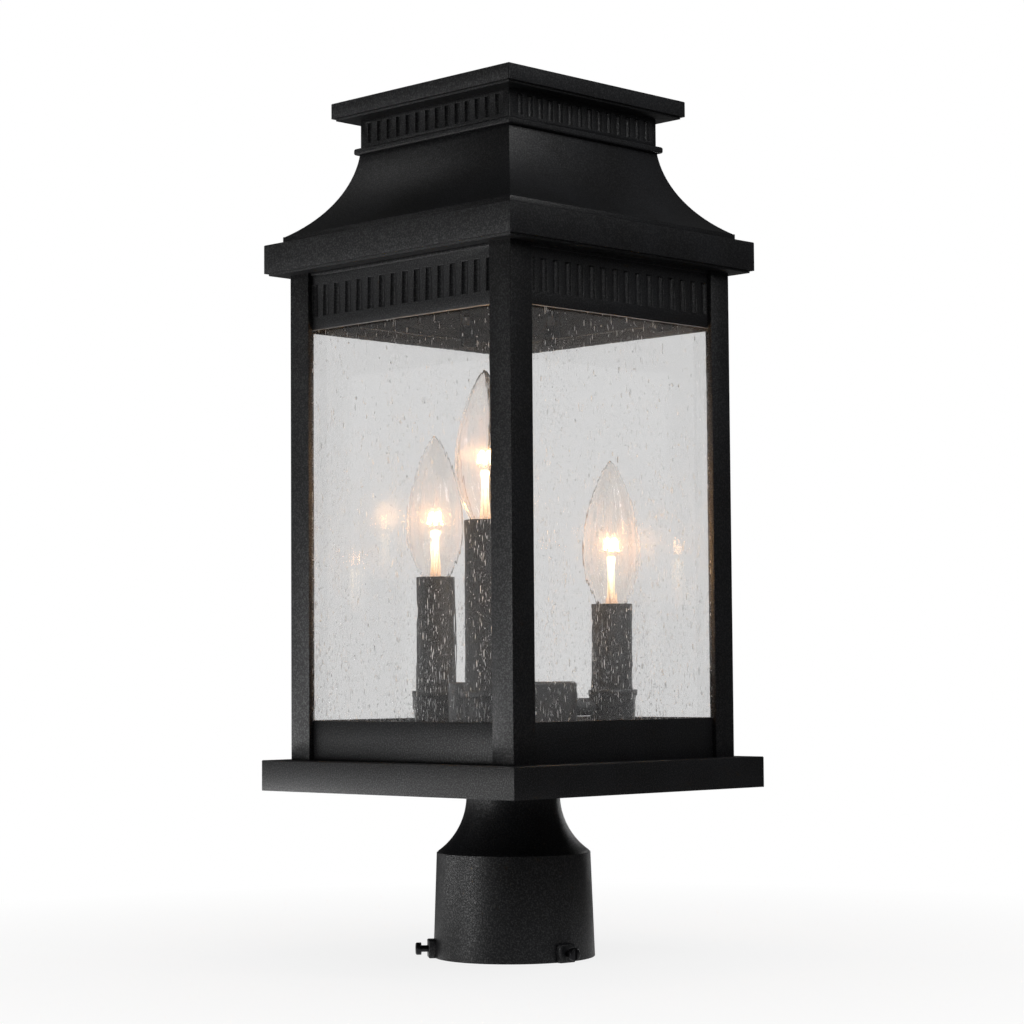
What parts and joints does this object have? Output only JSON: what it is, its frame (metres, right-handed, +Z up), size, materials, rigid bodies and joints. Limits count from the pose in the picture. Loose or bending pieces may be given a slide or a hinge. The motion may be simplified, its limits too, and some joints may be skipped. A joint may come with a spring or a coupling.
{
  "type": "post top lantern",
  "caption": "Square glazed lantern with a flared roof and fluted friezes over a candle cluster, on a round fitter that drops over a lamp post.",
  "frame": {"origin": "centre of the fitter's rim, where the lantern meets its post, on the vertical axis", "axes": "+Z up along the post; the cage's glazed faces look along +X, -X, +Y and -Y; front is -Y"},
  "size_m": [0.19, 0.19, 0.4592],
  "materials": {
    "cast_powder_coat": "cast aluminium, fine-textured satin black powder coat",
    "black_powder_coat": "fine-textured satin black powder coat",
    "seeded_glass": "clear seeded glass with drawn bubbles and faint vertical reed",
    "blackened_steel": "black oxide",
    "zinc_steel": "zinc plated",
    "black_candle_sleeve": "satin black",
    "phenolic": "moulded black phenolic",
    "bulb_brass": "bright nickelled brass",
    "bulb_glass": "clear blown glass",
    "filament": "lit filament on its glass mount"
  },
  "bodies": {
    "cage": {"post_fitter": "cast_powder_coat", "base_tray": "black_powder_coat", "corner_post_front_right": "black_powder_coat", "corner_post_back_right": "black_powder_coat", "corner_post_back_left": "black_powder_coat", "corner_post_front_left": "black_powder_coat", "bottom_rail_front": "black_powder_coat", "lintel_front": "black_powder_coat", "glass_pane_front": "seeded_glass", "bottom_rail_right": "black_powder_coat", "lintel_right": "black_powder_coat", "glass_pane_right": "seeded_glass", "bottom_rail_back": "black_powder_coat", "lintel_back": "black_powder_coat", "glass_pane_back": "seeded_glass", "bottom_rail_left": "black_powder_coat", "lintel_left": "black_powder_coat", "glass_pane_left": "seeded_glass", "pane_clips": "blackened_steel", "clip_screws": "zinc_steel", "cage_screws": "zinc_steel", "threaded_nipple": "zinc_steel", "nipple_locknuts": "zinc_steel", "hub_cap_nut": "black_powder_coat", "cluster_hub": "black_powder_coat", "arm_short": "black_powder_coat", "candle_cup_short": "black_powder_coat", "candle_sleeve_short": "black_candle_sleeve", "lampholder_short": "phenolic", "arm_middle": "black_powder_coat", "candle_cup_middle": "black_powder_coat", "candle_sleeve_middle": "black_candle_sleeve", "lampholder_middle": "phenolic", "arm_tall": "black_powder_coat", "candle_cup_tall": "black_powder_coat", "candle_sleeve_tall": "black_candle_sleeve", "lampholder_tall": "phenolic", "candle_stems": "zinc_steel", "roof_nuts": "bulb_brass"},
    "set_screw_1": {"set_screw_1": "blackened_steel"},
    "set_screw_2": {"set_screw_2": "blackened_steel"},
    "set_screw_3": {"set_screw_3": "blackened_steel"},
    "bulb_short": {"bulb_base_short": "bulb_brass", "bulb_envelope_short": "bulb_glass", "bulb_mount_short": "filament"},
    "bulb_middle": {"bulb_base_middle": "bulb_brass", "bulb_envelope_middle": "bulb_glass", "bulb_mount_middle": "filament"},
    "bulb_tall": {"bulb_base_tall": "bulb_brass", "bulb_envelope_tall": "bulb_glass", "bulb_mount_tall": "filament"},
    "roof": {"eave_soffit": "black_powder_coat", "eave_tray": "black_powder_coat", "roof_studs": "zinc_steel", "flare_roof": "black_powder_coat", "ledge_moulding": "black_powder_coat", "frieze_collar": "black_powder_coat", "cap_tray": "black_powder_coat", "cap_soffit": "black_powder_coat", "roof_screws": "zinc_steel"}
  },
  "joints": [
    {"name": "set_screw_1_travel", "type": "slide", "parent": "cage", "child": "set_screw_1", "axis": [0.3746, -0.9272, 0], "range_m": [-0.003, 0.0035]},
    {"name": "set_screw_2_travel", "type": "slide", "parent": "cage", "child": "set_screw_2", "axis": [0.6157, 0.788, 0], "range_m": [-0.003, 0.0035]},
    {"name": "set_screw_3_travel", "type": "slide", "parent": "cage", "child": "set_screw_3", "axis": [-0.9903, 0.1392, 0], "range_m": [-0.003, 0.0035]},
    {"name": "bulb_short_turn", "type": "hinge", "parent": "cage", "child": "bulb_short", "pos_m": [0.02615, 0.04918, 0.1872], "axis": [0, 0, 1], "range_deg": [0, 360]},
    {"name": "bulb_middle_turn", "type": "hinge", "parent": "cage", "child": "bulb_middle", "pos_m": [-0.05567, -0.00194, 0.2033], "axis": [0, 0, 1], "range_deg": [0, 360]},
    {"name": "bulb_tall_turn", "type": "hinge", "parent": "cage", "child": "bulb_tall", "pos_m": [0.02952, -0.04724, 0.2292], "axis": [0, 0, 1], "range_deg": [0, 360]},
    {"name": "roof_lift", "type": "slide", "parent": "cage", "child": "roof", "axis": [0, 0, 1], "range_m": [0, 0.12]}
  ]
}
